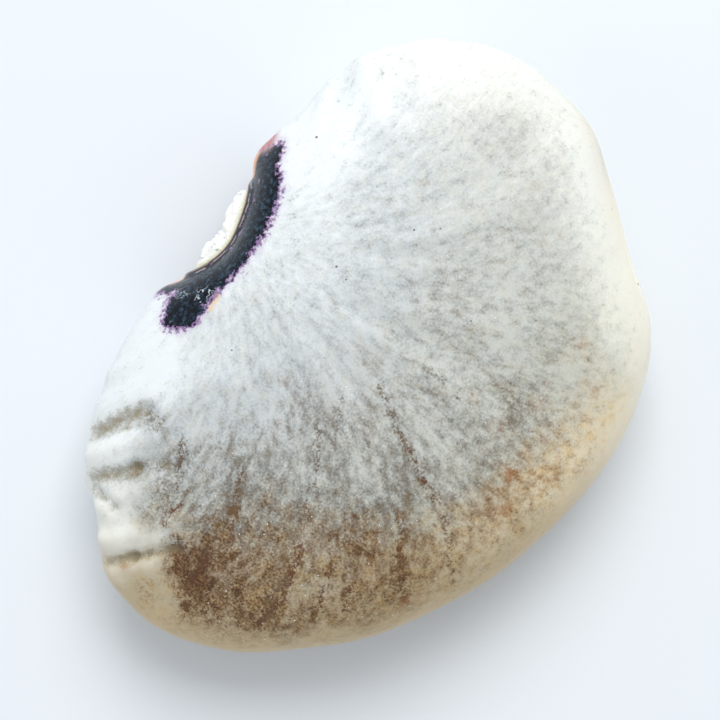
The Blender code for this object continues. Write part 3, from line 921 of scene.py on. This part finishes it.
# Satin skin that lets a little light in, and a glossy eye.
GLOSS = (0.0, 1.0, 0.46, 0.17)  # roughness of the plain skin and of the ink
GLOSS_STIR = {"grain": 0.2}
GRAIN_HEIGHT = 0.5
COAT_BUMP = 0.6
gloss = total(tree, fade(tree, ink, *GLOSS), stir(tree, GLOSS_STIR))
tree.links.new(skin, shader.inputs["Base Color"])
tree.links.new(gloss, shader.inputs["Roughness"])
set_look(shader, {
    "Specular IOR Level": 0.35,
    "Subsurface Weight": 0.12,
    "Subsurface Radius": (1.0, 0.75, 0.5),
    "Subsurface Scale": 0.3 * MM,
})
skin_height = total(tree, clouds["clump"], product(tree, clouds["grain"], GRAIN_HEIGHT))
roughen(tree, shader, skin_height, COAT_BUMP)


def pushed(tree, geometry, distance):
    """A surface moved along its normals."""
    normal = node(tree, "GeometryNodeInputNormal").outputs[0]
    offset = node(tree, "ShaderNodeVectorMath", {"operation": "SCALE"}, in_0=normal, Scale=distance)
    made = node(tree, "GeometryNodeSetPosition", Geometry=geometry, Offset=offset.outputs[0])
    return made.outputs[0]


# Fine relief of the dried skin: low ridges along the rays and small puckers, away from the
# floor and from the hilum.
RIDGE_STRETCH = (1.0, 0.22, 0.5)
RIDGE_CLOUD = (2.0, 0.5)  # detail, roughness
PUCKER_CLOUD = (3.0, 0.55)
OFF_FLOOR = (0.05 * MM, 0.5 * MM)
OFF_HILUM = (2.5, 6.5)
relief, ports = shape_tree(
    "coat_relief", ("Ridge Height", "Ridge Density", "Pucker Height", "Pucker Density")
)
settings = {"data_type": "FLOAT_VECTOR"}
fan_field = node(relief, "GeometryNodeInputNamedAttribute", settings, Name="fan").outputs["Attribute"]
ray_field = stretched(relief, fan_field, RIDGE_STRETCH)
ridges = noise(relief, ray_field, ports["Ridge Density"], *RIDGE_CLOUD, ports["Seed"])
puckers = noise(relief, fan_field, ports["Pucker Density"], *PUCKER_CLOUD, ports["Seed"])
ridge_lift = spread(relief, ridges, ports["Ridge Height"])
pucker_lift = spread(relief, puckers, ports["Pucker Height"])
position = node(relief, "GeometryNodeInputPosition").outputs[0]
above_floor = node(relief, "ShaderNodeSeparateXYZ", in_0=position).outputs["Z"]
from_hilum = node(relief, "ShaderNodeSeparateXYZ", in_0=fan_field).outputs["Y"]
off_floor = fade(relief, above_floor, *OFF_FLOOR)
off_hilum = fade(relief, from_hilum, *OFF_HILUM)
lift = product(relief, total(relief, ridge_lift, pucker_lift), product(relief, off_floor, off_hilum))
end_tree(relief, pushed(relief, ports["Geometry"], lift), ports["Material"])
seed = shaped("seed_in_coat", seed_mesh, relief, {
    "Ridge Height": 0.07 * MM,
    "Ridge Density": 1.3,
    "Pucker Height": 0.05 * MM,
    "Pucker Density": 1.8,
    "Seed": 3,
    "Material": coat,
})
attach(seed, "root")
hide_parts("bean")


# The stalk's torn end: dry, spongy white tissue by which the seed hung in its pod. It fills
# the slot and stands out of it, split down its length and crumbling along its edges.
STALK_DEPTH = 0.42
STALK_ENDS = (0.66, 0.38)  # height over the coat's edge at its two ends
STALK_BULGE = (0.72, 0.15, 0.20)  # where it is thickest, over what share of its length, by how much
STALK_HALF_WIDTH = 0.58
STALK_POWER = 3.0
STALK_SLIT = (0.13, 0.20)  # half width and depth
STALK_SLIT_POWER = 6  # the slit keeps its depth until close to its ends
STALK_TEARS = (  # waves along the stalk, phase, height
    (5.0, 0.0, 0.05), (11.0, 1.3, 0.06), (17.0, 2.9, 0.06),
)
STALK_TEAR_SKEW = 0.7  # waves across the stalk, as a share of those along it
STALK_GRID = (96, 36, 36)


def stalk_surface(direction):
    """Points of the torn stalk: a cushion bent along the hilum, and how far out each lies."""
    size = (np.abs(direction) ** STALK_POWER).sum(1) ** (1 / STALK_POWER)
    along, across, out = (direction / size[:, None]).T
    share = (along + 1) / 2
    degrees = HILUM[0] + share * (HILUM[1] - HILUM[0])
    middle = outline_points(degrees)[:, :2]
    run = (outline_points(degrees + 1) - outline_points(degrees - 1))[:, :2]
    run /= np.linalg.norm(run, axis=1)[:, None]
    outward = np.stack([run[:, 1], -run[:, 0]], -1)
    tall, low_end = STALK_ENDS
    thickest, spread_share, bulge = STALK_BULGE
    height = tall + share * (low_end - tall) + bulge * bell(share - thickest, spread_share)
    lift = np.where(out > 0, height, STALK_DEPTH) * out
    torn = sum(
        height * np.sin(waves * along + phase)
        * np.cos(STALK_TEAR_SKEW * waves * across + 2 * phase)
        for waves, phase, height in STALK_TEARS
    )
    half_width, depth = STALK_SLIT
    slit = depth * bell(across * STALK_HALF_WIDTH, half_width) * (1 - along**STALK_SLIT_POWER)
    lift += np.clip(out, 0, 1) * (torn - slit)
    plan = middle + outward * lift[:, None]
    return np.column_stack([plan, MIDDLE_Z + STALK_HALF_WIDTH * across]), lift


corners, stalk_faces = box_grid(STALK_GRID)
stalk_points, stalk_out = stalk_surface(ball_directions(corners))
stalk_mesh = mesh_of("torn_stalk", stalk_points + shift, stalk_faces)
layer = stalk_mesh.attributes.new("out", "FLOAT", "POINT")
layer.data.foreach_set("value", stalk_out.astype(np.float32))

sponge = bpy.data.materials.new("stalk_sponge_finish")
sponge.use_nodes = True
tree = sponge.node_tree
shader = tree.nodes["Principled BSDF"]
PITH = colour(255, 255, 253)
PITH_SHADE = colour(246, 247, 240)
PITH_OLIVE_SHADE = colour(218, 217, 188)
PORE_CLOUD = (9.0, 4.0, 0.7, 11.0)
PORE_SHARE = (0.50, 0.30)
ROOT_UNEVEN = 0.15
ROOT_SHARE = (0.34, 0.14)  # distance out of the slot
SPONGE_BUMP = 0.5
# The tissue: white, greyer in its pores as painted shade, and olive at its base by the slot, partly
# its own tint and partly painted shade.
pores = noise(tree, object_place(tree), *PORE_CLOUD)
tissue = paint(tree, fade(tree, pores, *PORE_SHARE), PITH, PITH_SHADE)
root = total(tree, mark(tree, "out"), product(tree, pores, ROOT_UNEVEN))
tissue = paint(tree, fade(tree, root, *ROOT_SHARE), tissue, PITH_OLIVE_SHADE)
tree.links.new(tissue, shader.inputs["Base Color"])
set_look(shader, {
    "Roughness": 0.92,
    "Specular IOR Level": 0.2,
    "Subsurface Weight": 0.15,
    "Subsurface Scale": 0.4 * MM,
})
roughen(tree, shader, pores, SPONGE_BUMP)

# The torn surface: pits, and loose knobbly crumbs of the same tissue set in its outer side.
PIT_CLOUD = (3.0, 0.6)  # detail, roughness
CRUMBS_FROM = 0.10  # distance out of the slot
KNOB_CLOUD = (16.0 / MM, 2.0, 0.5, 5.0)
KNOB_HEIGHT = 2.2  # in crumb radii
CRUMB_LEVELS = 2
CRUMB_SIZES = (0.4, 1.3)  # smallest and largest, in crumb radii
FULL_TURN = 6.28
torn, ports = shape_tree("torn_tissue", ("Pit Depth", "Pit Density", "Crumb Size", "Crumb Density"))
spot = node(torn, "GeometryNodeInputPosition").outputs[0]
pits = noise(torn, spot, ports["Pit Density"], *PIT_CLOUD, ports["Seed"])
pitted = pushed(torn, ports["Geometry"], spread(torn, pits, ports["Pit Depth"]))
settings = {"data_type": "FLOAT"}
out_side = node(torn, "GeometryNodeInputNamedAttribute", settings, Name="out").outputs["Attribute"]
settings = {"operation": "GREATER_THAN"}
bare = node(torn, "FunctionNodeCompare", settings, in_0=out_side, in_1=CRUMBS_FROM).outputs[0]
scatter = node(
    torn, "GeometryNodeDistributePointsOnFaces", Mesh=pitted, Selection=bare,
    Density=ports["Crumb Density"], Seed=ports["Seed"],
)
ball = node(
    torn, "GeometryNodeMeshIcoSphere", Radius=ports["Crumb Size"], Subdivisions=CRUMB_LEVELS,
)
knobs = spread(torn, noise(torn, spot, *KNOB_CLOUD), ports["Crumb Size"])
crumb = pushed(torn, ball.outputs[0], product(torn, knobs, KNOB_HEIGHT))
smallest, largest = CRUMB_SIZES
sizes = node(torn, "FunctionNodeRandomValue", in_2=smallest, in_3=largest, Seed=ports["Seed"])
settings = {"data_type": "FLOAT_VECTOR"}
turns = node(torn, "FunctionNodeRandomValue", settings, in_1=(FULL_TURN,) * 3, Seed=ports["Seed"])
crumbs = node(
    torn, "GeometryNodeInstanceOnPoints", Points=scatter.outputs["Points"], Instance=crumb,
    Rotation=turns.outputs[0], Scale=sizes.outputs[1],
)
joined = node(torn, "GeometryNodeJoinGeometry")
torn.links.new(pitted, joined.inputs[0])
torn.links.new(crumbs.outputs[0], joined.inputs[0])
end_tree(torn, joined.outputs[0], ports["Material"])
stalk = shaped("torn_stalk", stalk_mesh, torn, {
    "Pit Depth": 0.15 * MM,
    "Pit Density": 2.6 / MM,
    "Crumb Size": 0.05 * MM,
    "Crumb Density": 9.0 / MM**2,
    "Seed": 8,
    "Material": sponge,
})
stalk.data.shade_smooth()
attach(stalk, "root")
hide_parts("stalk_remnant")


# The table: a plain sheet of bluish white card under the seed.
CARD = colour(238, 243, 248)
CARD_SIZE = 0.8
CARD_ROUGHNESS = 0.8
card = bpy.data.materials.new("card")
card.use_nodes = True
set_look(card.node_tree.nodes["Principled BSDF"], {"Base Color": CARD, "Roughness": CARD_ROUGHNESS})
half = CARD_SIZE / 2 / MM
card_corners = ((-half, -half, 0.0), (half, -half, 0.0), (half, half, 0.0), (-half, half, 0.0))
card_mesh = mesh_of("table", np.array(card_corners), np.array([[0, 1, 2, 3]]))
card_mesh.materials.append(card)
table = bpy.data.objects.new("table", card_mesh)
bpy.context.scene.collection.objects.link(table)


# The camera looks straight down on the seed through a long lens, turned so that the hilum
# is at the picture's upper left.
PICTURE_WIDTH = 23.68  # millimetres across the picture, at the widest line
PICTURE_MIDDLE = (0.09, -0.89)  # point of the seed in the picture's middle
PICTURE_TURN = 124.5  # degrees from +X to the picture's right
LENS_LENGTH = 120.0
SENSOR = 36.0
NEAR_CLIP = 0.005
camera = bpy.data.cameras.new("camera")
camera.lens = LENS_LENGTH
camera.sensor_width = SENSOR
camera.clip_start = NEAR_CLIP
camera_thing = bpy.data.objects.new("camera", camera)
distance = PICTURE_WIDTH * LENS_LENGTH / SENSOR
camera_thing.location = (
    (PICTURE_MIDDLE[0] + shift[0]) * MM,
    (PICTURE_MIDDLE[1] + shift[1]) * MM,
    (MIDDLE_Z + distance) * MM,
)
camera_thing.rotation_euler = (0.0, 0.0, math.radians(PICTURE_TURN))
bpy.context.scene.collection.objects.link(camera_thing)
bpy.context.scene.camera = camera_thing


# The light: a large soft box past the broad end, on the hilum's side, a weak one past the
# wrinkled end, and a pale room.
SOFT_BOXES = (  # name, direction from the seed, distance, width, power, tint
    ("key_light", (-0.94, -0.44, 1.36), 0.26, 0.16, 0.43, (1.0, 0.99, 0.97)),
    ("fill_light", (0.81, -0.65, 0.80), 0.26, 0.16, 0.04, (1.0, 1.0, 1.0)),
)
ROOM = colour(241, 245, 250)
ROOM_STRENGTH = 0.60
for name, way, distance, width, power, tint in SOFT_BOXES:
    light = bpy.data.lights.new(name, "AREA")
    light.size = width
    light.energy = power
    light.color = tint
    light_thing = bpy.data.objects.new(name, light)
    aim = np.array(way) / np.linalg.norm(way)
    light_thing.location = aim * distance
    yaw = math.atan2(aim[1], aim[0]) + math.pi / 2
    light_thing.rotation_euler = (math.acos(aim[2]), 0.0, yaw)
    bpy.context.scene.collection.objects.link(light_thing)
room = bpy.data.worlds.new("room")
room.use_nodes = True
set_look(room.node_tree.nodes["Background"], {"Color": ROOM, "Strength": ROOM_STRENGTH})
bpy.context.scene.world = room
bpy.context.scene.view_settings.view_transform = "Standard"
